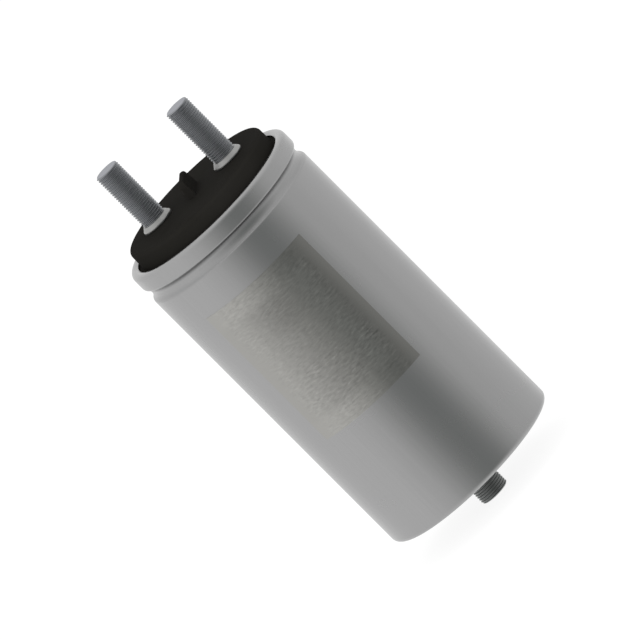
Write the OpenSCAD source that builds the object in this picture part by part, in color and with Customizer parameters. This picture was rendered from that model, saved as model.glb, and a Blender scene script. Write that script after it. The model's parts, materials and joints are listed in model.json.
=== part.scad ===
// Film capacitor: a metallised film winding cast in resin in a round aluminium can, under a moulded
// lid with two terminal studs, with a mounting stud below. Sizes are in millimetres.
// +Z runs up the can's axis, the terminals stand in a row along X, and the label faces -Y.
// The origin is the centre of the can's bottom face, where the mounting stud leaves it.

/* [Can] */
// Outside diameter of the can
can_d = 76; // [60:1:110]
// Height from the bottom face to the top of the rolled rim
can_h = 138.5; // [100:0.5:240]
// Thickness of the side wall, the bead and the rolled rim
can_wall = 1; // [0.7:0.1:1.2]
// Thickness of the can's floor
can_floor = 2.5; // [2:0.1:5]
// Outside radius between the side wall and the bottom face
can_corner_r = 2.3; // [1.5:0.1:4]

/* [Mounting stud] */
// Thread diameter of the stud, which is one piece with the can
stud_d = 12; // [8:1:16]
// Length of the stud below the bottom face
stud_l = 12.5; // [8:0.5:25]
// Chamfer at the stud's end
stud_chamfer = 0.5; // [0.3:0.1:1.5]

/* [Bead and rolled rim] */
// Distance from the rim's top down to the middle of the bead groove
bead_drop = 9.6; // [8:0.1:14]
// Depth of the groove
bead_depth = 1.6; // [1:0.1:2.4]
// Outside radius at the bottom of the groove
bead_r = 3.2; // [1.5:0.1:4]
// Outside radius where the groove runs out into the wall
bead_lip_r = 1.2; // [1.2:0.1:3]
// Outside radius of the rim where it rolls in over the lid
curl_r = 2.2; // [1.8:0.1:3]
// How far the rim is rolled, in degrees
curl_turn = 135; // [100:1:150]

/* [Lid] */
// Height of the lid's raised middle above the rolled rim
lid_rise = 6.1; // [3:0.1:12]
// Width of the channel between the rolled rim and the raised middle
channel_w = 1.7; // [1:0.1:8]
// Radius round the top edge of the raised middle
plateau_edge_r = 1.5; // [0.5:0.1:3]
// Draft of the moulded walls, in degrees
lid_draft = 1; // [0:0.5:3]
// Thickness of the lid's top
lid_top_t = 4; // [3:0.1:5]
// Thickness of the raised middle's side wall
lid_side_t = 3; // [2:0.1:4]
// Radial gap between the lid's flange and the can's wall
lid_gap = 0.15; // [0.05:0.05:0.5]
// Radial gap between the lid's spigot and the inside of the bead
spigot_gap = 0.25; // [0.1:0.05:0.5]
// Length of the spigot below the flange
spigot_l = 5; // [3:0.1:8]
// Thickness of the stiffening ribs below the lid
lid_rib_t = 2; // [1.5:0.1:3]
// Depth of the stiffening ribs below the lid's top wall
lid_rib_h = 4; // [2:0.1:5]
// Number of stiffening ribs
lid_ribs = 12; // [6:2:16]
// Diameter of the bosses round the terminals
boss_d = 18; // [15:0.5:20]
// Distance from the lid's top to the foot of a boss
boss_h = 10; // [8:0.1:14]

/* [Barrier rib] */
// Length of the rib between the terminals, across their row
barrier_l = 15.5; // [8:0.5:30]
// Thickness of the rib at its foot
barrier_t = 3.2; // [2:0.1:4]
// Height of the rib above the lid
barrier_h = 7.1; // [3:0.1:12]
// Radius at the two upper corners of the rib
barrier_corner_r = 2.5; // [1:0.1:3]
// Draft of the rib's two long sides, in degrees
barrier_draft = 4; // [0:0.5:5]

/* [Lid seal] */
// Height of the rubber ring between the bead and the lid's flange
seal_h = 2.8; // [2:0.1:3]
// Height of the flange above the place where the bead runs out
seal_rise = 0.45; // [0.2:0.05:1]

/* [Terminals] */
// Thread diameter of the terminal studs
terminal_d = 10; // [8:1:12]
// Distance between the two terminals
terminal_pitch = 35; // [26:0.5:44]
// Length of the stud above its collar
terminal_l = 25.2; // [12:0.1:40]
// Chamfer at the stud's top
terminal_chamfer = 0.4; // [0.3:0.1:1.2]
// Diameter of the collar that stands on the lid
collar_d = 13; // [12:0.1:16]
// Height of the collar
collar_h = 2.3; // [2:0.1:4]
// Slope of the collar's top, down from the thread to the edge, in degrees
collar_slope = 50; // [20:1:55]
// Radius round the collar's two edges
collar_edge_r = 0.5; // [0.2:0.1:0.6]
// Depth of the undercut between the thread and the collar
undercut = 0.5; // [0.4:0.1:1]
// Length of the undercut at its full depth
undercut_l = 0.3; // [0.3:0.1:1]
// Diameter of the neck that passes through the lid
neck_d = 10.6; // [9:0.1:13]
// Width across the neck's flats, which keep the stud from turning
neck_flats = 8.8; // [7:0.1:10.5]
// Gap between the neck and its hole in the lid
neck_gap = 0.1; // [0.05:0.05:0.3]
// Width of the rubber ring under the collar
ring_w = 1.2; // [0.8:0.1:1.5]
// Height of the rubber ring under the collar
ring_h = 1.5; // [1:0.1:2]
// Thread diameter of the tail inside the can
tail_d = 8; // [6:1:8]
// Length of the tail below the boss
tail_l = 10.4; // [9:0.1:12.5]
// Outside diameter of the washers
washer_d = 16; // [13:0.5:17]
// Thickness of the washers
washer_t = 1.6; // [1:0.1:2]
// Width of the nuts across their flats
nut_flats = 13; // [11:0.5:14]
// Height of the nuts
nut_h = 6.5; // [4:0.1:7]
// Gap between the tail and the holes of the washer and the strip
tail_gap = 0.2; // [0.1:0.05:0.5]

/* [Winding] */
// Radial gap between the winding and the can's wall
side_gap = 2.5; // [1.5:0.1:6]
// Distance from the rim's top down to the winding's upper end
headroom = 24.9; // [21:0.1:35]
// Bore of the core tube
core_bore = 10; // [9:0.5:14]
// Wall of the core tube
core_wall = 1.5; // [1:0.1:3]
// Thickness of the sprayed contact layers
contact_t = 0.8; // [0.4:0.1:1.2]
// Bare margin between a contact layer and the edges of the winding
contact_margin = 0.8; // [0.4:0.1:2]
// Thickness of the wrap round the winding
wrap_t = 0.6; // [0.2:0.1:1]

/* [Leads and insulation] */
// Width of the copper strips
lead_w = 8; // [5:0.5:8]
// Thickness of the copper strips
lead_t = 0.8; // [0.4:0.1:1]
// Bend radius of the strips at the middle of their thickness
lead_bend_r = 1.2; // [0.8:0.1:2]
// Gap between the left washer and the upper strip on its way down
lead_gap = 1.1; // [0.8:0.1:2]
// Length of the strips' feet on the contact layers
lead_foot = 16; // [8:0.5:20]
// Wall of the sleeve round the lower strip
sleeve_t = 0.7; // [0.3:0.05:0.8]
// Thickness of the insulating discs
insulator_t = 1.5; // [1:0.1:2]
// Gap round a strip where it passes through the upper disc
slot_gap = 0.5; // [0.2:0.1:0.8]
// Depth of resin over the upper contact layer
fill_cover = 3.6; // [2.5:0.1:4]

/* [Label] */
// Width of the label, measured round the can
label_w = 50; // [20:1:80]
// Height of the label
label_h = 63; // [20:1:80]
// Distance from the bead down to the label's top edge
label_drop = 12.5; // [1:0.5:60]
// Thickness of the label film
label_t = 0.15; // [0.1:0.05:0.3]
// Turn of the label's middle from -Y towards +X, in degrees
label_turn = 0; // [-90:1:90]

/* [Hidden] */

$fn = 96;
arc_steps = 8;      // points along each arc of an outline
overlap = 1;        // how far a rib reaches into the wall that carries it

// can
can_r = can_d / 2;
can_inner_r = can_r - can_wall;
inner_corner_r = can_corner_r - can_wall;
bead_z = can_h - bead_drop;
bead_reach = bead_r + bead_lip_r - bead_depth;          // radial distance between the two arcs' centres
bead_angle = acos(bead_reach / (bead_r + bead_lip_r));  // turn of each arc of the bead
bead_half = (bead_r + bead_lip_r) * sin(bead_angle);    // half height of the bead
bead_inner_r = can_inner_r - bead_depth;
curl_z = can_h - curl_r;

// lid
lid_z = can_h + lid_rise;
flange_z0 = bead_z + bead_half + seal_rise;
flange_z1 = curl_z + (curl_r - can_wall) * sin(curl_turn);
flange_r = can_inner_r - lid_gap;
flange_edge_r = curl_r - can_wall;
spigot_r = bead_inner_r - spigot_gap;
spigot_z = flange_z0 - spigot_l;
spigot_chamfer = 0.6;
plateau_r = can_r - curl_r + curl_r * cos(curl_turn) - channel_w;
plateau_foot_r = plateau_r + (lid_z - flange_z1) * tan(lid_draft);
cavity_r = plateau_r - lid_side_t;
ceiling_z = lid_z - lid_top_t;
boss_z = lid_z - boss_h;
hub_r = 4;
pocket_gap = 0.3;       // room round the bosses and washers where the side wall comes near them

// terminals
terminal_r = terminal_d / 2;
neck_r = neck_d / 2;
collar_top_r = terminal_r + 0.3;
collar_flank_r = collar_d / 2 - collar_edge_r * (1 - sin(collar_slope));     // where the slope meets the edge's arc
collar_shoulder_z = collar_h - collar_edge_r * cos(collar_slope) - (collar_flank_r - collar_top_r) * tan(collar_slope);
tail_r = tail_d / 2;
thread_chamfer = 0.6;       // at the foot of the tail and on the nuts' corners
terminal_x = terminal_pitch / 2;

// winding stack, upwards from the can's floor
lower_contact_z = can_floor + insulator_t + lead_t;
winding_z0 = lower_contact_z + contact_t;
winding_z1 = can_h - headroom;
upper_contact_z = winding_z1 + contact_t;
fill_z = upper_contact_z + fill_cover;
core_r = core_bore / 2 + core_wall;
wrap_r = can_inner_r - side_gap;
winding_r = wrap_r - wrap_t;

// leads: heights of the strips' middle planes
eye_z = boss_z - lead_t / 2;
upper_foot_z = upper_contact_z + lead_t / 2;
lower_foot_z = lower_contact_z - lead_t / 2;
sleeve_z = winding_z0 + lead_bend_r;
lead_x = terminal_x - washer_d / 2 - lead_gap - lead_t / 2;   // from the axis to the upper strip's way down

// Points along an arc about [x, y] from angle a0 to a1, with or without its two ends
function arc(x, y, r, a0, a1, ends = true) =
    [for (i = [ends ? 0 : 1 : ends ? arc_steps : arc_steps - 1])
        let (a = a0 + (a1 - a0) * i / arc_steps) [x + r * cos(a), y + r * sin(a)]];

function reversed(points) = [for (i = [len(points) - 1 : -1 : 0]) points[i]];

// The can's wall from below the bead to the end of the rolled rim, set in from the outside
function upper_wall(inset) = concat(
    arc(can_r - bead_lip_r, bead_z - bead_half, bead_lip_r - inset, 0, bead_angle),
    arc(can_r - bead_depth + bead_r, bead_z, bead_r + inset, 180 + bead_angle, 180 - bead_angle, false),
    arc(can_r - bead_lip_r, bead_z + bead_half, bead_lip_r - inset, -bead_angle, 0),
    arc(can_r - curl_r, curl_z, curl_r - inset, 0, curl_turn)
);

// The can's inner corner, from the floor up to the side wall
function inner_corner() =
    arc(can_inner_r - inner_corner_r, can_floor + inner_corner_r, inner_corner_r, -90, 0);

function unit(v) = v / norm(v);

// A path with each inner corner, which is a right angle, rounded to a radius
function rounded_path(points, r) = [
    for (i = [0 : len(points) - 1])
        if (i == 0 || i == len(points) - 1) points[i]
        else let (
            back = unit(points[i - 1] - points[i]),
            on = unit(points[i + 1] - points[i]),
            centre = points[i] + r * (back + on)
        ) each [for (s = [0 : arc_steps])
            let (a = 90 * s / arc_steps) centre - r * (on * cos(a) + back * sin(a))]
];

// The outline of a strip of thickness t whose middle follows a path
function strip_outline(path, t) =
    let (
        last = len(path) - 1,
        along = [for (i = [0 : last - 1]) unit(path[i + 1] - path[i])],
        side = [for (d = along) [-d.y, d.x]],
        offsets = [for (i = [0 : last])
            let (a = side[max(i - 1, 0)], b = side[min(i, last - 1)]) (a + b) / (1 + a * b)]
    )
    concat(
        [for (i = [0 : last]) path[i] + offsets[i] * t / 2],
        reversed([for (i = [0 : last]) path[i] - offsets[i] * t / 2])
    );

module can_section() {
    polygon(concat(
        [[0, -stud_l], [stud_d / 2 - stud_chamfer, -stud_l], [stud_d / 2, stud_chamfer - stud_l], [stud_d / 2, 0]],
        arc(can_r - can_corner_r, can_corner_r, can_corner_r, -90, 0),
        upper_wall(0),
        reversed(upper_wall(can_wall)),
        reversed(inner_corner()),
        [[0, can_floor]]
    ));
}

// The space inside the can, from its floor to the end of the rolled rim
module inside_section() {
    polygon(concat([[0, can_floor]], inner_corner(), upper_wall(can_wall), [[0, flange_z1]]));
}

// A flat ring lying on z = 0
module ring(outer_r, inner_r, t) {
    difference() {
        cylinder(r = outer_r, h = t);
        translate([0, 0, -overlap]) cylinder(r = inner_r, h = t + 2 * overlap);
    }
}

module at_terminals() {
    for (x = [-terminal_x, terminal_x]) translate([x, 0, 0]) children();
}

module can() {
    color("#a2a3a2") rotate_extrude() can_section();
}

module lid_body() {
    rotate_extrude() polygon(concat(
        [[0, ceiling_z], [cavity_r, ceiling_z], [cavity_r, spigot_z]],
        [[spigot_r - spigot_chamfer, spigot_z], [spigot_r, spigot_z + spigot_chamfer]],
        [[spigot_r, flange_z0], [flange_r, flange_z0]],
        arc(flange_r - flange_edge_r, flange_z1 - flange_edge_r, flange_edge_r, 0, 90),
        [[plateau_foot_r, flange_z1]],
        arc(plateau_r - plateau_edge_r, lid_z - plateau_edge_r, plateau_edge_r, 0, 90),
        [[0, lid_z]]
    ));
}

// Ribs like spokes below the lid's top wall, from a hub in the middle out to the side wall
module lid_ribbing() {
    translate([0, 0, ceiling_z - lid_rib_h]) {
        cylinder(r = hub_r, h = lid_rib_h + overlap);
        for (i = [0 : lid_ribs - 1]) rotate(360 * i / lid_ribs)
            translate([0, -lid_rib_t / 2, 0]) cube([cavity_r + overlap, lid_rib_t, lid_rib_h + overlap]);
    }
}

// Bosses that carry the terminals below the lid's top wall, within its side wall
module bosses() {
    h = boss_h - lid_top_t + overlap;
    intersection() {
        at_terminals() translate([0, 0, boss_z]) cylinder(d = boss_d, h = h);
        translate([0, 0, boss_z]) cylinder(r = cavity_r + overlap, h = h);
    }
}

// The rib between the terminals: rounded corners seen from the side, draft seen from its end
module barrier() {
    top_z = lid_z + barrier_h;
    foot_z = lid_z - overlap;
    top_half = barrier_t / 2 - barrier_h * tan(barrier_draft);
    intersection() {
        rotate([90, 0, 90]) linear_extrude(barrier_t, center = true) polygon(concat(
            [[-barrier_l / 2, foot_z], [barrier_l / 2, foot_z]],
            arc(barrier_l / 2 - barrier_corner_r, top_z - barrier_corner_r, barrier_corner_r, 0, 90),
            arc(barrier_corner_r - barrier_l / 2, top_z - barrier_corner_r, barrier_corner_r, 90, 180)
        ));
        rotate([90, 0, 0]) linear_extrude(barrier_l, center = true) polygon(concat(
            [[-barrier_t / 2, foot_z], [barrier_t / 2, foot_z], [barrier_t / 2, lid_z]],
            arc(0, top_z - top_half, top_half, 0, 180),
            [[-barrier_t / 2, lid_z]]
        ));
    }
}

// The neck's shape in plan: a circle with two flats, grown by a gap
module neck_plan(gap) {
    intersection() {
        circle(r = neck_r + gap);
        square([neck_d + 4 * gap, neck_flats + 2 * gap], center = true);
    }
}

module lid() {
    color("#22221f") difference() {
        union() {
            lid_body();
            lid_ribbing();
            bosses();
            barrier();
        }
        at_terminals() {
            translate([0, 0, boss_z - overlap]) linear_extrude(boss_h + 2 * overlap) neck_plan(neck_gap);
            translate([0, 0, lid_z - ring_h]) cylinder(r = neck_r + ring_w, h = ring_h + overlap);
            translate([0, 0, spigot_z - overlap])
                cylinder(r = max(boss_d, washer_d) / 2 + pocket_gap, h = boss_z - spigot_z + overlap);
        }
    }
}

module lid_seal() {
    color("#1b1b1b") rotate_extrude() intersection() {
        translate([spigot_r, flange_z0 - seal_h]) square([can_r - spigot_r, seal_h]);
        inside_section();
    }
}

// Turned stud standing at x: thread, undercut, collar, neck and tail
module terminal(x) {
    top = collar_h + terminal_l;
    end = -boss_h - tail_l;
    thread_z = collar_h + undercut_l + undercut;
    color("#7c7f84") translate([x, 0, lid_z]) {
        rotate_extrude() polygon(concat(
            [[0, -ring_h], [neck_r, -ring_h], [neck_r, 0]],
            arc(collar_d / 2 - collar_edge_r, collar_edge_r, collar_edge_r, -90, 0),
            arc(collar_d / 2 - collar_edge_r, collar_shoulder_z, collar_edge_r, 0, 90 - collar_slope),
            [[collar_top_r, collar_h]],
            [[terminal_r - undercut, collar_h], [terminal_r - undercut, collar_h + undercut_l]],
            [[terminal_r, thread_z], [terminal_r, top - terminal_chamfer]],
            [[terminal_r - terminal_chamfer, top], [0, top]]
        ));
        translate([0, 0, -boss_h]) linear_extrude(boss_h - ring_h) neck_plan(0);
        rotate_extrude() polygon([
            [0, end], [tail_r - thread_chamfer, end], [tail_r, end + thread_chamfer],
            [tail_r, -boss_h], [0, -boss_h]
        ]);
    }
}

module terminal_left() { terminal(-terminal_x); }

module terminal_right() { terminal(terminal_x); }

// Rubber ring in its seat under a collar
module terminal_seal(x) {
    color("#1b1b1b") translate([x, 0, lid_z - ring_h]) ring(neck_r + ring_w, neck_r, ring_h);
}

module terminal_seal_left() { terminal_seal(-terminal_x); }

module terminal_seal_right() { terminal_seal(terminal_x); }

module terminal_washers() {
    color("#b9bbbd") at_terminals()
        translate([0, 0, boss_z - lead_t - washer_t]) ring(washer_d / 2, tail_r + tail_gap, washer_t);
}

module nut() {
    corner_r = nut_flats / 2 / cos(30);
    difference() {
        intersection() {
            cylinder(r = corner_r, h = nut_h, $fn = 6);
            rotate_extrude() polygon([
                [0, 0], [corner_r - thread_chamfer, 0], [corner_r, thread_chamfer / 2],
                [corner_r, nut_h - thread_chamfer / 2], [corner_r - thread_chamfer, nut_h], [0, nut_h]
            ]);
        }
        translate([0, 0, -overlap]) cylinder(r = tail_r, h = nut_h + 2 * overlap);
    }
}

module terminal_nuts() {
    color("#b9bbbd") at_terminals() translate([0, 0, boss_z - lead_t - washer_t - nut_h]) nut();
}

// Strip from the eye on the terminal at eye_x, along a path in the XZ plane
module lead(eye_x, points) {
    color("#b8a08c") difference() {
        union() {
            rotate([90, 0, 0]) linear_extrude(lead_w, center = true)
                polygon(strip_outline(rounded_path(points, lead_bend_r), lead_t));
            translate([eye_x, 0, eye_z - lead_t / 2]) cylinder(d = washer_d, h = lead_t);
        }
        translate([eye_x, 0, eye_z - lead_t]) cylinder(r = tail_r + tail_gap, h = 2 * lead_t);
    }
}

module upper_lead() {
    lead(-terminal_x, [
        [-terminal_x, eye_z], [-lead_x, eye_z],
        [-lead_x, upper_foot_z], [-lead_x - lead_foot, upper_foot_z]
    ]);
}

module lower_lead() {
    lead(terminal_x, [
        [terminal_x, eye_z], [0, eye_z],
        [0, lower_foot_z], [lead_x + lead_foot, lower_foot_z]
    ]);
}

module lead_sleeve() {
    color("#d8d2c0") translate([0, 0, sleeve_z])
        ring(core_bore / 2, core_bore / 2 - sleeve_t, upper_contact_z - sleeve_z);
}

module contact(z) {
    color("#8f9296") translate([0, 0, z])
        ring(winding_r - contact_margin, core_r + contact_margin, contact_t);
}

module upper_contact() { contact(winding_z1); }

module lower_contact() { contact(lower_contact_z); }

module winding() {
    color("#c9c6bb") translate([0, 0, winding_z0]) ring(winding_r, core_r, winding_z1 - winding_z0);
}

module core_tube() {
    color("#e4e2da") translate([0, 0, winding_z0]) ring(core_r, core_bore / 2, winding_z1 - winding_z0);
}

module winding_wrap() {
    color("#dcd8c8") translate([0, 0, winding_z0]) ring(wrap_r, winding_r, winding_z1 - winding_z0);
}

module bottom_insulator() {
    color("#e6dfc8") translate([0, 0, can_floor]) cylinder(r = wrap_r, h = insulator_t);
}

module top_insulator() {
    color("#e6dfc8") difference() {
        translate([0, 0, fill_z]) cylinder(r = can_inner_r - lid_gap, h = insulator_t);
        for (x = [-lead_x, 0]) translate([x, 0, fill_z + insulator_t / 2])
            cube([lead_t + 2 * slot_gap, lead_w + 2 * slot_gap, insulator_t + 2 * overlap], center = true);
    }
}

module resin_fill() {
    color("#5a4a33") difference() {
        rotate_extrude() intersection() {
            inside_section();
            square([can_r, fill_z]);
        }
        bottom_insulator();
        lower_contact();
        winding();
        core_tube();
        winding_wrap();
        upper_contact();
        lead_sleeve();
        upper_lead();
        lower_lead();
    }
}

module rating_label() {
    sweep = label_w / (PI * can_d) * 360;
    color("#8b8982") rotate(label_turn - 90 - sweep / 2) rotate_extrude(angle = sweep)
        translate([can_r, bead_z - bead_half - label_drop - label_h]) square([label_t, label_h]);
}

can();
lid();
lid_seal();
terminal_left();
terminal_right();
terminal_seal_left();
terminal_seal_right();
terminal_washers();
terminal_nuts();
upper_lead();
lower_lead();
lead_sleeve();
upper_contact();
lower_contact();
winding();
core_tube();
winding_wrap();
bottom_insulator();
top_insulator();
resin_fill();
rating_label();
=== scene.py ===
# Film capacitor in a round aluminium can: satin can with a beaded and rolled rim, black moulded lid with a
# barrier rib, two plated terminal studs, a threaded mounting stud below and a silver film label.
# Sizes are written in millimetres and turned to metres by MM; the frame is the CAD part's own.
import json
import math

import bpy
from mathutils import Matrix, Vector


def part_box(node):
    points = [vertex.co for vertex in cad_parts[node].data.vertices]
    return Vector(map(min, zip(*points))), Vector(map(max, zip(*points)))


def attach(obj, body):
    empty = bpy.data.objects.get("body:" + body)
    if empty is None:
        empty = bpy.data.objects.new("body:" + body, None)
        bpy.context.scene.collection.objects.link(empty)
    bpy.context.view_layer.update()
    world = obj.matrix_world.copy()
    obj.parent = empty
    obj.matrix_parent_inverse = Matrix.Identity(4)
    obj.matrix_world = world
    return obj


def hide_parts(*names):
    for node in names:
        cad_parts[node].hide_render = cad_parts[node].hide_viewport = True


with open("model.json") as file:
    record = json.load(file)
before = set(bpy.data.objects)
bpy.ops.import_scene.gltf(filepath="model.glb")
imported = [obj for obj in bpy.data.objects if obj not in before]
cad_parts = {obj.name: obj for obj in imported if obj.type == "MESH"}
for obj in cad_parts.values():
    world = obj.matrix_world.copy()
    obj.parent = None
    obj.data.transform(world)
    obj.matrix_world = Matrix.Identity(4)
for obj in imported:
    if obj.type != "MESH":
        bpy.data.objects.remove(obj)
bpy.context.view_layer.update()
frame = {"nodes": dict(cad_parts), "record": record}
nodes = frame["nodes"]
MM = 0.001

# Sizes that the boxes of the CAD nodes don't give, in millimetres, with slopes and turns in degrees
CAN_WALL, CAN_FLOOR, CAN_CORNER_R = 1.0, 2.5, 2.3
BEAD_DROP, BEAD_DEPTH, BEAD_R, BEAD_LIP_R = 9.6, 1.6, 3.2, 1.2
CURL_R, CURL_TURN = 2.2, 135.0
MOUNTING_STUD_D, MOUNTING_STUD_PITCH, MOUNTING_STUD_CHAMFER = 12.0, 1.0, 0.5
TERMINAL_D, TERMINAL_PITCH, TERMINAL_CHAMFER = 10.0, 1.0, 0.4
COLLAR_H, COLLAR_SLOPE, COLLAR_EDGE_R, COLLAR_LEDGE = 2.3, 50.0, 0.5, 0.3
UNDERCUT, UNDERCUT_L = 0.5, 0.3
NECK_D, NECK_FLATS, BOSS_H, RING_H = 10.6, 8.8, 10.0, 1.5
TAIL_D, TAIL_PITCH, TAIL_CHAMFER = 8.0, 1.25, 0.6
THREAD_DEPTH = 0.54  # of the pitch
RINGS_PER_TURN, TAIL_RINGS_PER_TURN = 14, 8
SHARP_TURN = math.radians(28)  # an outline that turns by more than this has an edge there
SLACK = 0.01  # past a ring of points, to pick what lies on it or up to it
TINY = 1e-6  # taken as nothing

# painted shade in the bead's groove: height from the middle of the bead, and how much of its brightness the
# can keeps there
BEAD_PAINTED_SHADE = ((-3.2, 1.0), (-2.2, 0.85), (-1.0, 0.95), (0.6, 0.95), (1.7, 0.52), (2.6, 0.9), (3.2, 1.0))
# how far either way from the bead's middle the painted shade reaches
BEAD_SHADE_REACH = 4.0

# The label's width, and how far above and below its middle the print's grey ground begins to fade and ends
LABEL_W, GROUND_FADES, GROUND_ENDS = 50.0, 22.5, 25.5
# length and height of a stroke of print, pitch of the rows, width and height of a block of denser print
STROKE_L, STROKE_H, ROW_PITCH, BLOCK_W, BLOCK_H = 2.7, 0.9, 2.1, 11.0, 8.0
# heights of a bolder block of print and of a field of darker ground, the field's place across the label as
# below, and the share of light it takes
BOLD_Z, DARK_Z, DARK_ACROSS, DARKNESS = 67.0, 97.0, 0.48, 0.09
# how much darker or lighter than the film a plain stroke is; the film's own red, green and blue
INK, FILM_TINT = 0.21, (1.0, 0.99, 0.94)
# painted light and shade across the label, lighter at its left and darker at its right as the film mirrors
# the room: place across the label from its left edge, 0, to its right edge, 1, and the brightness of the
# ground there
GROUND_PAINTED_SHADE = ((0.0, 1.06), (0.16, 1.04), (0.25, 0.96), (0.42, 0.87), (0.52, 0.89), (0.62, 0.98),
                (0.69, 1.01), (0.78, 0.99), (0.9, 0.75), (1.0, 0.79))
# the same painted light and shade in the margins above and below, where the print has no grey ground
MARGIN_PAINTED_SHADE = ((0.0, 1.08), (0.13, 1.1), (0.32, 1.07), (0.42, 1.02), (0.52, 1.0), (0.62, 0.98),
                (0.72, 0.935), (0.82, 0.8), (0.92, 0.76), (1.0, 0.78))
# the same for how strong the print is
PRINT_DENSITY = ((0.05, 0.0), (0.12, 0.6), (0.26, 0.75), (0.35, 1.0), (0.55, 0.95), (0.66, 0.9),
                 (0.75, 1.15), (0.88, 1.6), (0.93, 0.0))

# What the metal mirrors: degrees from the dimmest direction, and the room's colour there
ROOM = ((0, (0.285, 0.3, 0.295)), (17, (0.345, 0.355, 0.35)), (37, (0.58, 0.585, 0.58)),
        (57, (0.81, 0.81, 0.81)), (90, (0.94, 0.94, 0.94)), (125, (0.93, 0.93, 0.93)),
        (165, (0.9, 0.9, 0.9)), (180, (0.92, 0.92, 0.92)))


# ------------------------------------------------------------------------------------------------- helpers
def linear(hex_colour):
    """An sRGB hex value as linear red, green, blue and alpha."""
    parts = [int(hex_colour[i:i + 2], 16) / 255 for i in (1, 3, 5)]
    return [c / 12.92 if c <= 0.04045 else ((c + 0.055) / 1.055) ** 2.4 for c in parts] + [1.0]


def add(tree, kind, inputs=None, stops=(), **settings):
    """Adds a node with its settings, and a colour ramp's stops (place, colour), and gives each named or
    numbered input a value or a link."""
    node = tree.nodes.new(kind)
    for name, value in settings.items():
        setattr(node, name, value)
    for i, (place, colour) in enumerate(stops):
        stop = node.color_ramp.elements[i] if i < 2 else node.color_ramp.elements.new(1.0)
        stop.position, stop.color = place, (*colour, 1)
    for key, value in (inputs or {}).items():
        if isinstance(value, bpy.types.NodeSocket):
            tree.links.new(value, node.inputs[key])
        else:
            node.inputs[key].default_value = value
    return node


def new_material(name, **sockets):
    """A material with one Principled BSDF; constant values go on its own sockets."""
    material = bpy.data.materials.new(name)
    material.use_nodes = True
    tree = material.node_tree
    tree.nodes.clear()
    shader = add(tree, "ShaderNodeBsdfPrincipled", {k.replace("_", " "): v for k, v in sockets.items()})
    output = add(tree, "ShaderNodeOutputMaterial", {"Surface": shader.outputs["BSDF"]})
    output.is_active_output = True
    place = add(tree, "ShaderNodeTexCoord").outputs["Object"]
    return material, tree, shader, place


def dress(obj, material):
    """Gives a whole object one material."""
    obj.data.materials.clear()
    obj.data.materials.append(material)
    for polygon in obj.data.polygons:
        polygon.material_index = 0


def arc(x, z, r, start, end, steps=10, ends=True):
    """Points on an arc about (x, z), with or without its two ends."""
    turns = range(steps + 1) if ends else range(1, steps)
    angles = [math.radians(start + (end - start) * i / steps) for i in turns]
    return [(x + r * math.cos(a), z + r * math.sin(a)) for a in angles]


def divided(points, step):
    """The same outline with its straight runs cut to lengths of at most step."""
    result = [points[0]]
    for (r0, z0), (r1, z1) in zip(points, points[1:]):
        count = max(1, math.ceil(math.hypot(r1 - r0, z1 - z0) / step - TINY))
        result += [(r0 + (r1 - r0) * i / count, z0 + (z1 - z0) * i / count) for i in range(1, count + 1)]
    return result


def turned(name, outline, axis_x=0.0, segments=256):
    """A closed turned solid from an outline (radius, height) in millimetres, which starts and ends on the
    axis and runs outwards, up and back. Rings where it turns sharply are marked sharp."""
    verts, rings, sharp = [], [], []
    for i, (r, z) in enumerate(outline):
        if r < TINY:
            rings.append([len(verts)])
            verts.append((axis_x, 0.0, z))
        else:
            rings.append(list(range(len(verts), len(verts) + segments)))
            turns = [2 * math.pi * k / segments for k in range(segments)]
            verts += [(axis_x + r * math.cos(t), r * math.sin(t), z) for t in turns]
        if 0 < i < len(outline) - 1 and r > TINY:
            back = Vector(outline[i]) - Vector(outline[i - 1])
            on = Vector(outline[i + 1]) - Vector(outline[i])
            if back.angle(on) > SHARP_TURN:
                sharp.append(i)
    faces = []
    for low, high in zip(rings, rings[1:]):
        for k in range(segments):
            m = (k + 1) % segments
            if len(low) == 1:
                faces.append((low[0], high[m], high[k]))
            elif len(high) == 1:
                faces.append((low[k], low[m], high[0]))
            else:
                faces.append((low[k], low[m], high[m], high[k]))
    mesh = bpy.data.meshes.new(name)
    mesh.from_pydata([Vector(v) * MM for v in verts], [], faces)
    mesh.update()
    mesh.shade_smooth()
    sharp_edges = {frozenset((rings[i][k], rings[i][(k + 1) % segments]))
                   for i in sharp for k in range(segments)}
    marks = mesh.attributes.new("sharp_edge", "BOOLEAN", "EDGE")
    marks.data.foreach_set("value", [frozenset(edge.vertices) in sharp_edges for edge in mesh.edges])
    obj = bpy.data.objects.new(name, mesh)
    bpy.context.scene.collection.objects.link(obj)
    return obj


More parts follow.
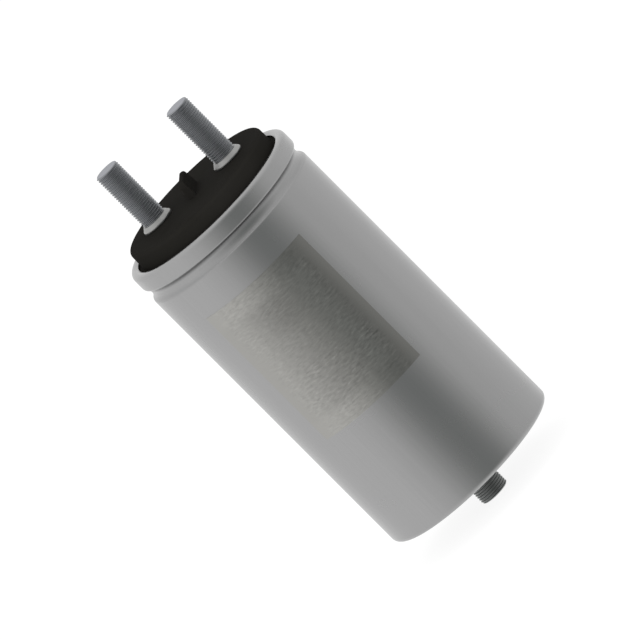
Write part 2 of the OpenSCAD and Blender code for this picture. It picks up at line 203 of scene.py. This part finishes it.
def thread_tree():
    """Geometry nodes that cut a right-hand 60 degree thread into a turned blank: between two heights, each
    point moves in to the thread's radius at its angle and height, and stays where the blank is slimmer."""
    tree = bpy.data.node_groups.new("Right-hand thread", "GeometryNodeTree")
    tree.is_modifier = True
    sockets = tree.interface
    sockets.new_socket("Geometry", in_out="INPUT", socket_type="NodeSocketGeometry")
    for name in ("Major radius", "Pitch", "Axis X", "From height", "To height"):
        sockets.new_socket(name, in_out="INPUT", socket_type="NodeSocketFloat")
    sockets.new_socket("Finish", in_out="INPUT", socket_type="NodeSocketMaterial")
    sockets.new_socket("Geometry", in_out="OUTPUT", socket_type="NodeSocketGeometry")
    given = add(tree, "NodeGroupInput").outputs

    place = add(tree, "GeometryNodeInputPosition").outputs[0]
    axis = add(tree, "ShaderNodeCombineXYZ", {0: given["Axis X"]}).outputs[0]
    local = add(tree, "ShaderNodeVectorMath", {0: place, 1: axis}, operation="SUBTRACT").outputs[0]
    outward = add(tree, "ShaderNodeVectorMath", {0: local, 1: (1, 1, 0)}, operation="MULTIPLY").outputs[0]
    radius = add(tree, "ShaderNodeVectorMath", {0: outward}, operation="LENGTH").outputs["Value"]
    x, y, z = add(tree, "ShaderNodeSeparateXYZ", {0: local}).outputs
    # turns up the helix to this point; 0, 1, 2 ... are the middles of the crests
    turn = add(tree, "ShaderNodeMath", {0: y, 1: x}, operation="ARCTAN2").outputs[0]
    turn = add(tree, "ShaderNodeMath", {0: turn, 1: 2 * math.pi}, operation="DIVIDE").outputs[0]
    rise = add(tree, "ShaderNodeMath", {0: z, 1: given["Pitch"]}, operation="DIVIDE").outputs[0]
    rise = add(tree, "ShaderNodeMath", {0: rise, 1: turn}, operation="SUBTRACT").outputs[0]
    from_crest = add(tree, "ShaderNodeMath", {0: rise, 1: 0.5}, operation="PINGPONG").outputs[0]
    # the crest's flat is an eighth and the root's a quarter of the pitch wide; flanks at 60 degrees to each
    # other then put them THREAD_DEPTH apart
    depth = add(tree, "ShaderNodeMapRange", {"Value": from_crest, "From Min": 1 / 16, "From Max": 3 / 8,
                                             "To Max": THREAD_DEPTH}).outputs[0]
    depth = add(tree, "ShaderNodeMath", {0: depth, 1: given["Pitch"]}, operation="MULTIPLY").outputs[0]
    major_r = given["Major radius"]
    cut_r = add(tree, "ShaderNodeMath", {0: major_r, 1: depth}, operation="SUBTRACT").outputs[0]
    cut_r = add(tree, "ShaderNodeMath", {0: radius, 1: cut_r}, operation="MINIMUM").outputs[0]
    safe_r = add(tree, "ShaderNodeMath", {0: radius, 1: TINY}, operation="MAXIMUM").outputs[0]
    share = add(tree, "ShaderNodeMath", {0: cut_r, 1: safe_r}, operation="DIVIDE").outputs[0]
    share = add(tree, "ShaderNodeMath", {0: share, 1: 1.0}, operation="SUBTRACT").outputs[0]
    inward = add(tree, "ShaderNodeVectorMath", {0: outward, "Scale": share}, operation="SCALE").outputs[0]
    above = add(tree, "FunctionNodeCompare", {0: z, 1: given["From height"]}, operation="GREATER_EQUAL")
    below = add(tree, "FunctionNodeCompare", {0: z, 1: given["To height"]}, operation="LESS_EQUAL")
    zone = add(tree, "FunctionNodeBooleanMath", {0: above.outputs[0], 1: below.outputs[0]}, operation="AND")
    cut = add(tree, "GeometryNodeSetPosition",
              {"Geometry": given["Geometry"], "Selection": zone.outputs[0], "Offset": inward})
    real = add(tree, "GeometryNodeRealizeInstances", {0: cut.outputs[0]})
    finished = add(tree, "GeometryNodeSetMaterial",
                   {"Geometry": real.outputs[0], "Material": given["Finish"]})
    add(tree, "NodeGroupOutput", {0: finished.outputs[0]})
    return tree


def cut_threads(obj, tree, finish, cuts):
    """Cuts each thread (diameter, pitch, axis x, from, to) in millimetres, and leaves a plain mesh."""
    for diameter, pitch, axis_x, low, high in cuts:
        modifier = obj.modifiers.new("Thread", "NODES")
        modifier.node_group = tree
        values = {"Major radius": diameter / 2 * MM, "Pitch": pitch * MM, "Axis X": axis_x * MM,
                  "From height": low * MM, "To height": high * MM, "Finish": finish}
        for item in tree.interface.items_tree:
            if item.in_out == "INPUT" and item.name in values:
                modifier[item.identifier] = values[item.name]
    evaluated = obj.evaluated_get(bpy.context.evaluated_depsgraph_get())
    mesh = bpy.data.meshes.new_from_object(evaluated)
    obj.modifiers.clear()
    blank, obj.data = obj.data, mesh
    bpy.data.meshes.remove(blank)
    mesh.name = obj.name


# -------------------------------------------------------------------------------------------------- camera
VIEW_AZIMUTH, VIEW_ELEVATION, VIEW_ROLL = (math.radians(a) for a in (12.9, 11.55, 45.0))
# width of the view, and the point it is centred on: its height, and how far left of the axis it lies
VIEW_W, AIM_Z, AIM_LEFT = 230.9, 78.05, 0.69
CAMERA_DISTANCE, CLIP_END = 1.2, 20.0  # metres
can_low, can_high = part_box("can")
camera_data = bpy.data.cameras.new("Camera")
camera_data.type = "ORTHO"
camera_data.ortho_scale = VIEW_W * MM
camera_data.clip_end = CLIP_END
camera = bpy.data.objects.new("Camera", camera_data)
bpy.context.scene.collection.objects.link(camera)
towards = Vector((math.sin(VIEW_AZIMUTH) * math.cos(VIEW_ELEVATION),
                  -math.cos(VIEW_AZIMUTH) * math.cos(VIEW_ELEVATION), math.sin(VIEW_ELEVATION)))
right = Vector((math.cos(VIEW_AZIMUTH), math.sin(VIEW_AZIMUTH), 0.0))
up = towards.cross(right)
image_right = right * math.cos(VIEW_ROLL) - up * math.sin(VIEW_ROLL)
image_up = right * math.sin(VIEW_ROLL) + up * math.cos(VIEW_ROLL)
aim = Vector((0.0, 0.0, AIM_Z * MM)) - right * AIM_LEFT * MM
facing = Matrix((image_right, image_up, towards)).transposed().to_4x4()
camera.matrix_world = Matrix.Translation(aim + towards * CAMERA_DISTANCE) @ facing
bpy.context.scene.camera = camera


# ----------------------------------------------------------------------------------------------- materials
def satin_aluminium():
    # Impact-extruded aluminium: a satin skin with soft wide highlights and faint lengthwise draw marks left
    # by the die
    material, tree, shader, place = new_material("Impact-extruded aluminium", Metallic=1.0)
    # draw marks are about 0.1 mm apart; drawn at 0.8 mm so that they show, and some 80 times as long
    draw = add(tree, "ShaderNodeMapping", {"Vector": place, "Scale": (1.0, 1.0, 0.012)}).outputs[0]
    marks = add(tree, "ShaderNodeTexNoise", {"Vector": draw, "Scale": 1 / (0.8 * MM), "Detail": 3.0,
                                             "Roughness": 0.6}).outputs[0]
    # soft patches a thumb's width across, where the skin is a little glossier or duller
    handling = add(tree, "ShaderNodeTexNoise",
                   {"Vector": place, "Scale": 1 / (26 * MM), "Detail": 4.0}).outputs[0]
    tone = add(tree, "ShaderNodeMix", {0: marks, 6: linear("#A2A2A2"), 7: linear("#A9A9A9")},
               data_type="RGBA").outputs[2]
    # painted shade in the bead: its flanks, the upper one most, are darkened where the groove shades itself
    height = add(tree, "ShaderNodeSeparateXYZ", {0: place}).outputs[2]
    reach_low = can_high.z - (BEAD_DROP + BEAD_SHADE_REACH) * MM
    reach_high = can_high.z - (BEAD_DROP - BEAD_SHADE_REACH) * MM
    height = add(tree, "ShaderNodeMapRange",
                 {"Value": height, "From Min": reach_low, "From Max": reach_high}).outputs[0]
    bead_painted_shade = add(tree, "ShaderNodeValToRGB", {0: height},
                [((from_middle + BEAD_SHADE_REACH) / (2 * BEAD_SHADE_REACH), (level, level, level))
                 for from_middle, level in BEAD_PAINTED_SHADE]).outputs[0]
    tone = add(tree, "ShaderNodeMix", {0: 1.0, 6: tone, 7: bead_painted_shade},
               data_type="RGBA", blend_type="MULTIPLY").outputs[2]
    rough = add(tree, "ShaderNodeMapRange", {"Value": handling, "From Min": 0.3, "From Max": 0.7,
                                             "To Min": 0.25, "To Max": 0.28}).outputs[0]
    bump = add(tree, "ShaderNodeBump",
               {"Height": marks, "Strength": 0.03, "Distance": 0.05 * MM}).outputs[0]
    for socket, value in (("Base Color", tone), ("Roughness", rough), ("Normal", bump)):
        tree.links.new(value, shader.inputs[socket])
    return material


def turned_metal(name, dark, light):
    # Metal from the lathe, plated or bare: two close greys in a mottle about 1.1 mm wide, a little rougher
    # than the can
    material, tree, shader, place = new_material(name, Metallic=1.0)
    mottle = add(tree, "ShaderNodeTexNoise",
                 {"Vector": place, "Scale": 1 / (1.1 * MM), "Detail": 3.0}).outputs[0]
    tone = add(tree, "ShaderNodeMix", {0: mottle, 6: linear(dark), 7: linear(light)},
               data_type="RGBA").outputs[2]
    rough = add(tree, "ShaderNodeMapRange", {"Value": mottle, "From Min": 0.3, "From Max": 0.7,
                                             "To Min": 0.42, "To Max": 0.5}).outputs[0]
    bump = add(tree, "ShaderNodeBump",
               {"Height": mottle, "Strength": 0.08, "Distance": 0.05 * MM}).outputs[0]
    for socket, value in (("Base Color", tone), ("Roughness", rough), ("Normal", bump)):
        tree.links.new(value, shader.inputs[socket])
    return material


def moulded_plastic():
    # Glass-filled PBT from a spark-eroded mould: near black and matt, with a fine even grain and hardly any
    # gloss
    material, tree, shader, place = new_material("Spark-textured PBT", Specular_IOR_Level=0.005)
    # the grain is about 0.1 mm; drawn at 0.35 mm so that it shows
    grain = add(tree, "ShaderNodeTexNoise",
                {"Vector": place, "Scale": 1 / (0.35 * MM), "Detail": 2.0}).outputs[0]
    # the melt's flow leaves clouds about 17 mm wide
    flow = add(tree, "ShaderNodeTexNoise",
               {"Vector": place, "Scale": 1 / (17 * MM), "Detail": 3.0}).outputs[0]
    tone = add(tree, "ShaderNodeMix", {0: flow, 6: linear("#22211E"), 7: linear("#292826")},
               data_type="RGBA").outputs[2]
    rough = add(tree, "ShaderNodeMapRange", {"Value": grain, "To Min": 0.7, "To Max": 0.9}).outputs[0]
    bump = add(tree, "ShaderNodeBump",
               {"Height": grain, "Strength": 0.35, "Distance": 0.06 * MM}).outputs[0]
    for socket, value in (("Base Color", tone), ("Roughness", rough), ("Normal", bump)):
        tree.links.new(value, shader.inputs[socket])
    return material


def fade(tree, value, middle, begins, ends, near, far):
    """Goes from near to far as the value's distance from middle, either way, goes from begins to ends."""
    off = add(tree, "ShaderNodeMath", {0: value, 1: middle}, operation="SUBTRACT").outputs[0]
    off = add(tree, "ShaderNodeMath", {0: off}, operation="ABSOLUTE").outputs[0]
    return add(tree, "ShaderNodeMapRange", {"Value": off, "From Min": begins, "From Max": ends,
                                            "To Min": near, "To Max": far}).outputs[0]


def label_film():
    # Silver polyester film with small faint print: a satin metal sheet, slightly warmer than the can, with
    # painted light and shade in soft bands down it, darker towards its right, and broken rows of marks that
    # can't be read
    material, tree, shader, place = new_material("Silver polyester film", Metallic=1.0, Roughness=0.25)

    # distance round the can from the middle of its front, height, and place across the label
    front = add(tree, "ShaderNodeMapping", {"Vector": place, "Rotation": (0, 0, math.pi / 2)}).outputs[0]
    turn = add(tree, "ShaderNodeTexGradient", {"Vector": front}, gradient_type="RADIAL").outputs[1]
    half_round = math.pi * can_high.x
    around = add(tree, "ShaderNodeMapRange",
                 {"Value": turn, "To Min": -half_round, "To Max": half_round}).outputs[0]
    height = add(tree, "ShaderNodeSeparateXYZ", {0: place}).outputs[2]
    across = add(tree, "ShaderNodeMapRange", {"Value": around, "From Min": -LABEL_W / 2 * MM,
                                              "From Max": LABEL_W / 2 * MM}).outputs[0]

    # grey ground under the print; none in the margins above and below. Painted light and shade runs across
    # both
    ground_and_shade, margin_and_shade = (
        add(tree, "ShaderNodeValToRGB", {0: across},
            [(at, [level * part for part in FILM_TINT]) for at, level in bands]).outputs[0]
        for bands in (GROUND_PAINTED_SHADE, MARGIN_PAINTED_SHADE))
    label_middle = sum(corner.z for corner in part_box("rating_label")) / 2
    in_margin = fade(tree, height, label_middle, begins=GROUND_FADES * MM, ends=GROUND_ENDS * MM, near=0,
                     far=1)
    ground_and_shade = add(tree, "ShaderNodeMix", {0: in_margin, 6: ground_and_shade, 7: margin_and_shade}, data_type="RGBA").outputs[2]
    silver = add(tree, "ShaderNodeMix", {0: 1.0, 6: linear("#A1A1A1"), 7: ground_and_shade},
                 data_type="RGBA", blend_type="MULTIPLY").outputs[2]

    # print, too fine to read: short strokes in rows, both darker and lighter than the film, in blocks of
    # denser and thinner print, with one bolder block low down
    sheet = add(tree, "ShaderNodeCombineXYZ", {0: around, 1: height}).outputs[0]
    strokes = add(tree, "ShaderNodeMapping", {
        "Vector": sheet, "Scale": (1 / (STROKE_L * MM), 1 / (STROKE_H * MM), 1)}).outputs[0]
    strokes = add(tree, "ShaderNodeTexNoise",
                  {"Vector": strokes, "Scale": 1.0, "Detail": 3.0, "Roughness": 0.6}).outputs[0]
    ink = add(tree, "ShaderNodeMapRange", {"Value": strokes, "From Min": 0.3, "From Max": 0.7,
                                           "To Min": -INK, "To Max": INK}).outputs[0]
    row = add(tree, "ShaderNodeMath", {0: height, 1: ROW_PITCH * MM}, operation="DIVIDE").outputs[0]
    row = add(tree, "ShaderNodeMath", {0: row, 1: 0.5}, operation="PINGPONG").outputs[0]
    row = add(tree, "ShaderNodeMapRange",
              {"Value": row, "From Min": 0.08, "From Max": 0.35, "To Min": 0.6}).outputs[0]
    blocks = add(tree, "ShaderNodeMapping", {
        "Vector": sheet, "Scale": (1 / (BLOCK_W * MM), 1 / (BLOCK_H * MM), 1)}).outputs[0]
    blocks = add(tree, "ShaderNodeTexNoise", {"Vector": blocks, "Scale": 1.0, "Detail": 1.0}).outputs[0]
    blocks = add(tree, "ShaderNodeMapRange",
                 {"Value": blocks, "From Min": 0.4, "From Max": 0.6, "To Min": 0.6}).outputs[0]
    bold = fade(tree, height, BOLD_Z * MM, begins=5 * MM, ends=9 * MM, near=1.4, far=0.9)
    density = add(tree, "ShaderNodeValToRGB", {0: across},
                  [(at, (level, level, level)) for at, level in PRINT_DENSITY]).outputs[0]
    for share in (row, blocks, bold, density):
        ink = add(tree, "ShaderNodeMath", {0: ink, 1: share}, operation="MULTIPLY").outputs[0]
    clear = add(tree, "ShaderNodeMath", {0: 1.0, 1: ink}, operation="SUBTRACT").outputs[0]

    # a field of darker ground in the label's upper half
    dark = fade(tree, height, DARK_Z * MM, begins=4 * MM, ends=8 * MM, near=1, far=0)
    aside = fade(tree, across, DARK_ACROSS, begins=0.06, ends=0.24, near=DARKNESS, far=0)
    dark = add(tree, "ShaderNodeMath", {0: dark, 1: aside}, operation="MULTIPLY").outputs[0]
    clear = add(tree, "ShaderNodeMath", {0: clear, 1: dark}, operation="SUBTRACT").outputs[0]
    tone = add(tree, "ShaderNodeVectorMath", {0: silver, "Scale": clear}, operation="SCALE").outputs[0]
    tree.links.new(tone, shader.inputs["Base Color"])
    return material


def plain_finish(name, dark, light, grain_mm, rough, bump_mm, **sockets):
    """A finish inside the can: two close tones and a fine relief at one real grain size."""
    material, tree, shader, place = new_material(name, **sockets)
    grain = add(tree, "ShaderNodeTexNoise",
                {"Vector": place, "Scale": 1 / (grain_mm * MM), "Detail": 3.0}).outputs[0]
    tone = add(tree, "ShaderNodeMix", {0: grain, 6: linear(dark), 7: linear(light)},
               data_type="RGBA").outputs[2]
    spread = add(tree, "ShaderNodeMapRange",
                 {"Value": grain, "To Min": rough - 0.06, "To Max": rough + 0.06}).outputs[0]
    bump = add(tree, "ShaderNodeBump",
               {"Height": grain, "Strength": 0.3, "Distance": bump_mm * MM}).outputs[0]
    for socket, value in (("Base Color", tone), ("Roughness", spread), ("Normal", bump)):
        tree.links.new(value, shader.inputs[socket])
    return material


can_finish = satin_aluminium()
stud_finish = turned_metal("Zinc-plated turned steel", "#8D8F92", "#9B9DA0")
# the collar's copy of the plating is lighter than the stud's: painted light for the bright ring it shows
collar_painted_light = turned_metal("Zinc-plated steel, collar painted lighter", "#A3A3A2", "#AFAFAD")
# the end face's copy of the plating is lighter than the stud's: painted light
end_painted_light = turned_metal("Zinc-plated steel, end painted lighter", "#989AA0", "#A6A8AE")
root_finish = turned_metal("Turned aluminium", "#848685", "#919392")
lid_finish = moulded_plastic()
label_finish = label_film()
inner_finishes = {
    # moulded EPDM: matt, dark, a little dusty
    "seal_rubber": plain_finish("Moulded EPDM", "#141414", "#1E1E1D",
                                grain_mm=0.3, rough=0.75, bump_mm=0.02),
    # pressed steel under bright zinc: mottled, satin
    "zinc_steel": plain_finish("Bright zinc on pressed steel", "#A5A7A9", "#BDBFC1",
                               grain_mm=0.8, rough=0.35, bump_mm=0.01, Metallic=1.0),
    # rolled copper under a thin coat of tin: soft and warm grey
    "tinned_copper": plain_finish("Tinned copper strip", "#AFA89F", "#C3BBB0",
                                  grain_mm=0.6, rough=0.32, bump_mm=0.01, Metallic=1.0),
    # wound and pressed film: cream, with a satin skin
    "insulation_film": plain_finish("Wound polypropylene film", "#D9D3C0", "#E6E1D0",
                                    grain_mm=1.2, rough=0.45, bump_mm=0.02),
    # flame-sprayed zinc: rough, open and dull grey
    "sprayed_zinc": plain_finish("Flame-sprayed zinc", "#808386", "#9A9DA0",
                                 grain_mm=0.5, rough=0.65, bump_mm=0.12, Metallic=1.0),
    # metallised film: pale with a slight metallic sheen
    "film_winding": plain_finish("Metallised film winding", "#B9B7AF", "#CCCAC2",
                                 grain_mm=0.7, rough=0.3, bump_mm=0.01, Metallic=0.4),
    # extruded polypropylene core: off-white and satin
    "core_plastic": plain_finish("Extruded polypropylene", "#DEDCD5", "#E8E6E0",
                                 grain_mm=1.5, rough=0.42, bump_mm=0.01),
    # cast polyurethane: brown, smooth where it set against air
    "cast_resin": plain_finish("Cast polyurethane", "#4E402C", "#655439",
                               grain_mm=4.0, rough=0.25, bump_mm=0.02),
}

# -------------------------------------------------------------------------------------------------- pieces
# The can in one section: floor, corner, side wall, bead and rolled rim, then back down inside
can_r, rim_z = can_high.x / MM, can_high.z / MM
bead_z = rim_z - BEAD_DROP
bead_angle = math.degrees(math.acos((BEAD_R + BEAD_LIP_R - BEAD_DEPTH) / (BEAD_R + BEAD_LIP_R)))
bead_half = (BEAD_R + BEAD_LIP_R) * math.sin(math.radians(bead_angle))


def upper_wall(inset):
    """The wall from below the bead to the end of the rolled rim, set in from the outside."""
    return (arc(can_r - BEAD_LIP_R, bead_z - bead_half, BEAD_LIP_R - inset, 0, bead_angle)
            + arc(can_r - BEAD_DEPTH + BEAD_R, bead_z, BEAD_R + inset, 180 + bead_angle, 180 - bead_angle,
                  ends=False)
            + arc(can_r - BEAD_LIP_R, bead_z + bead_half, BEAD_LIP_R - inset, -bead_angle, 0)
            + arc(can_r - CURL_R, rim_z - CURL_R, CURL_R - inset, 0, CURL_TURN, steps=16))


inner_corner_r = CAN_CORNER_R - CAN_WALL
can_outline = ([(0, 0)] + arc(can_r - CAN_CORNER_R, CAN_CORNER_R, CAN_CORNER_R, -90, 0)
               + upper_wall(0) + upper_wall(CAN_WALL)[::-1]
               + arc(can_r - CAN_WALL - inner_corner_r, CAN_FLOOR + inner_corner_r, inner_corner_r, 0, -90)
               + [(0, CAN_FLOOR)])
can_shell = turned("can_shell", can_outline)
dress(can_shell, can_finish)

thread = thread_tree()
stud_r, stud_end = MOUNTING_STUD_D / 2, can_low.z / MM
stud_outline = [(0, stud_end), (stud_r - MOUNTING_STUD_CHAMFER, stud_end),
                (stud_r, stud_end + MOUNTING_STUD_CHAMFER), (stud_r, 0), (0, 0)]
mounting_stud = turned("mounting_stud", divided(stud_outline, MOUNTING_STUD_PITCH / RINGS_PER_TURN),
                       segments=128)
cut_threads(mounting_stud, thread, root_finish,
            [(MOUNTING_STUD_D, MOUNTING_STUD_PITCH, 0, stud_end, -SLACK)])


def terminal_stud(node):
    """A turned terminal: tail, flatted neck, sloping collar, undercut and threaded stud."""
    low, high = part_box(node)
    axis_x, foot, top = (low.x + high.x) / 2 / MM, low.z / MM, high.z / MM
    collar_r, r, neck_r, tail_r = (high.x - low.x) / 2 / MM, TERMINAL_D / 2, NECK_D / 2, TAIL_D / 2
    neck_low, neck_high = seat_z - BOSS_H, seat_z - RING_H
    collar_top, slope = seat_z + COLLAR_H, math.radians(COLLAR_SLOPE)
    ledge_r = r + COLLAR_LEDGE
    flank_r = collar_r - COLLAR_EDGE_R * (1 - math.sin(slope))
    shoulder_z = collar_top - COLLAR_EDGE_R * math.cos(slope) - (flank_r - ledge_r) * math.tan(slope)
    thread_z = collar_top + UNDERCUT_L
    tail = [(tail_r - TAIL_CHAMFER, foot), (tail_r, foot + TAIL_CHAMFER), (tail_r, neck_low)]
    stud = [(r - UNDERCUT, thread_z), (r, thread_z + UNDERCUT), (r, top - TERMINAL_CHAMFER),
            (r - TERMINAL_CHAMFER, top)]
    outline = ([(0, foot)] + divided(tail, TAIL_PITCH / TAIL_RINGS_PER_TURN)
               + [(neck_r, neck_low), (neck_r, neck_high), (neck_r, seat_z)]
               + arc(collar_r - COLLAR_EDGE_R, seat_z + COLLAR_EDGE_R, COLLAR_EDGE_R, -90, 0)
               + arc(collar_r - COLLAR_EDGE_R, shoulder_z, COLLAR_EDGE_R, 0, 90 - COLLAR_SLOPE)
               + [(ledge_r, collar_top), (r - UNDERCUT, collar_top)]
               + divided(stud, TERMINAL_PITCH / RINGS_PER_TURN) + [(0, top)])
    piece = turned(node + "_threaded", outline, axis_x, segments=96)
    half_flats = NECK_FLATS / 2 * MM
    for vertex in piece.data.vertices:
        if neck_low - SLACK < vertex.co.z / MM < neck_high + SLACK:
            vertex.co.y = max(-half_flats, min(half_flats, vertex.co.y))
    cut_threads(piece, thread, stud_finish, [(TERMINAL_D, TERMINAL_PITCH, axis_x, thread_z + SLACK, top),
                                             (TAIL_D, TAIL_PITCH, axis_x, foot, neck_low - SLACK)])
    # the collar and the end face take the plating's lighter copies, painted light
    piece.data.materials.append(collar_painted_light)
    piece.data.materials.append(end_painted_light)
    for polygon in piece.data.polygons:
        height = polygon.center.z / MM
        if seat_z - SLACK < height < collar_top + SLACK:
            polygon.material_index = 1
        elif height > top - SLACK:
            polygon.material_index = 2
        else:
            polygon.material_index = 0
    return piece


# the collar stands on the lid's top, where the rubber ring under it ends
seat_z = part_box("terminal_seal_left")[1].z / MM
terminals = {node: terminal_stud(node) for node in ("terminal_left", "terminal_right")}

dress(nodes["lid"], lid_finish)
dress(nodes["rating_label"], label_finish)
slots = {part["node"]: part["material_slot"] for part in frame["record"]["subparts"]}
for node, obj in nodes.items():
    if slots.get(node) in inner_finishes:
        dress(obj, inner_finishes[slots[node]])

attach(can_shell, "root")
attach(mounting_stud, "root")
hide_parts("can")
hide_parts("can")
for node, piece in terminals.items():
    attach(piece, "root")
    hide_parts(node)

# ------------------------------------------------------------------------------------- floor, light, world
FLOOR_REACH = 4.0  # metres from the axis
WHITE, TABLE_PAINT = (1, 1, 1, 1), (0.85, 0.85, 0.85, 1)
# the table's glow, and how much of what is seen of the table is glow
GLOW, GLOW_SHARE = 1.15, 0.75
# strength of the room that metal mirrors, and of the even light that falls on everything
ROOM_LIGHT, DAYLIGHT = 1.04, 0.85
# a direction's height is flattened by this before it is compared with the dim patch, which makes the patch
# about twice as tall as wide
PATCH_FLATTENING = 0.46
# turns right of the camera: the middle of the dim patch, and the far right
DIM_TURN, FAR_RIGHT_TURN = math.radians(17), math.radians(112)
# how much of the room's light the far right gives, and the cosines of the turns from it where the light
# begins to drop and is down
FAR_RIGHT_SHARE, DROP_BEGINS, DROP_ENDS = 0.87, 0.616, 0.927
LAMPS_AIM_Z = 80.0


def seen(tree):
    """1 for what the camera, metal and clear pieces see, 0 for the light that falls on the part."""
    path = add(tree, "ShaderNodeLightPath").outputs
    first = add(tree, "ShaderNodeMath", {0: path["Is Camera Ray"], 1: path["Is Glossy Ray"]},
                operation="MAXIMUM").outputs[0]
    return add(tree, "ShaderNodeMath", {0: first, 1: path["Is Transmission Ray"]},
               operation="MAXIMUM").outputs[0]


def white_floor():
    # Painted table: an even white that glows where it is seen, so that it runs into the backdrop and still
    # takes a soft shadow
    material = bpy.data.materials.new("White table")
    material.use_nodes = True
    tree = material.node_tree
    tree.nodes.clear()
    paint = add(tree, "ShaderNodeBsdfDiffuse", {"Color": TABLE_PAINT}).outputs[0]
    glow = add(tree, "ShaderNodeEmission", {"Color": WHITE, "Strength": GLOW}).outputs[0]
    share = add(tree, "ShaderNodeMath", {0: seen(tree), 1: GLOW_SHARE}, operation="MULTIPLY").outputs[0]
    mix = add(tree, "ShaderNodeMixShader", {0: share, 1: paint, 2: glow}).outputs[0]
    add(tree, "ShaderNodeOutputMaterial", {"Surface": mix})
    return material


floor_mesh = bpy.data.meshes.new("floor")
floor_corners = [(x * FLOOR_REACH, y * FLOOR_REACH, can_low.z)
                 for x, y in ((-1, -1), (1, -1), (1, 1), (-1, 1))]
floor_mesh.from_pydata(floor_corners, [], [(0, 1, 2, 3)])
floor = bpy.data.objects.new("floor", floor_mesh)
bpy.context.scene.collection.objects.link(floor)
dress(floor, white_floor())
# the metal sees the studio's surround below the horizon too, as if the table were small
floor.visible_glossy = False


def level_way(azimuth):
    """The level direction at an azimuth, which is 0 in front of the part and grows to the right."""
    return math.sin(azimuth), -math.cos(azimuth), 0.0


world = bpy.data.worlds.new("Studio")
bpy.context.scene.world = world
world.use_nodes = True
tree = world.node_tree
tree.nodes.clear()
# the metal mirrors a bright room, dim in a tall soft patch behind the camera and to its right
heading = add(tree, "ShaderNodeTexCoord").outputs["Generated"]
flattened = add(tree, "ShaderNodeVectorMath", {0: heading, 1: (1.0, 1.0, PATCH_FLATTENING)},
                operation="MULTIPLY").outputs[0]
flattened = add(tree, "ShaderNodeVectorMath", {0: flattened}, operation="NORMALIZE").outputs[0]
near = add(tree, "ShaderNodeVectorMath", {0: flattened, 1: level_way(VIEW_AZIMUTH + DIM_TURN)},
           operation="DOT_PRODUCT").outputs["Value"]
turn = add(tree, "ShaderNodeMath", {0: near}, operation="ARCCOSINE").outputs[0]
turn = add(tree, "ShaderNodeMath", {0: turn, 1: math.pi}, operation="DIVIDE").outputs[0]
room = add(tree, "ShaderNodeValToRGB", {0: turn},
           [(degrees / 180, colour) for degrees, colour in ROOM]).outputs[0]
# a little less from the far right than from the far left
side = add(tree, "ShaderNodeVectorMath", {0: heading, 1: level_way(VIEW_AZIMUTH + FAR_RIGHT_TURN)},
           operation="DOT_PRODUCT").outputs["Value"]
side = add(tree, "ShaderNodeMapRange",
           {"Value": side, "From Min": DROP_BEGINS, "From Max": DROP_ENDS, "To Max": FAR_RIGHT_SHARE,
            "To Min": 1.0}, interpolation_type="SMOOTHSTEP").outputs[0]
shade = add(tree, "ShaderNodeVectorMath", {0: room, "Scale": side}, operation="SCALE").outputs[0]
path = add(tree, "ShaderNodeLightPath").outputs
mirrored = add(tree, "ShaderNodeMath", {0: path["Is Glossy Ray"], 1: path["Is Transmission Ray"]},
               operation="MAXIMUM").outputs[0]
surround = add(tree, "ShaderNodeBackground", {"Color": shade, "Strength": ROOM_LIGHT}).outputs[0]
backdrop = add(tree, "ShaderNodeBackground", {"Color": WHITE, "Strength": 1.0}).outputs[0]
daylight = add(tree, "ShaderNodeBackground", {"Color": WHITE, "Strength": DAYLIGHT}).outputs[0]
lit = add(tree, "ShaderNodeMixShader", {0: mirrored, 1: daylight, 2: surround}).outputs[0]
whole = add(tree, "ShaderNodeMixShader", {0: path["Is Camera Ray"], 1: lit, 2: backdrop}).outputs[0]
add(tree, "ShaderNodeOutputWorld", {"Surface": whole})


def softbox(name, place, size, power):
    """A square area light that faces the can's upper half and isn't mirrored."""
    data = bpy.data.lights.new(name, "AREA")
    data.size, data.energy = size, power
    lamp = bpy.data.objects.new(name, data)
    bpy.context.scene.collection.objects.link(lamp)
    lamp.location = place
    facing = Vector((0, 0, LAMPS_AIM_Z * MM)) - Vector(place)
    lamp.rotation_euler = facing.to_track_quat("-Z", "Y").to_euler()
    lamp.visible_glossy = False


softbox("Overhead softbox", place=(-0.35, -0.3, 1.3), size=1.2, power=0.6)
softbox("Front softbox", place=(0.3, -1.25, 0.4), size=0.8, power=5.0)

bpy.context.scene.view_settings.view_transform = "Standard"
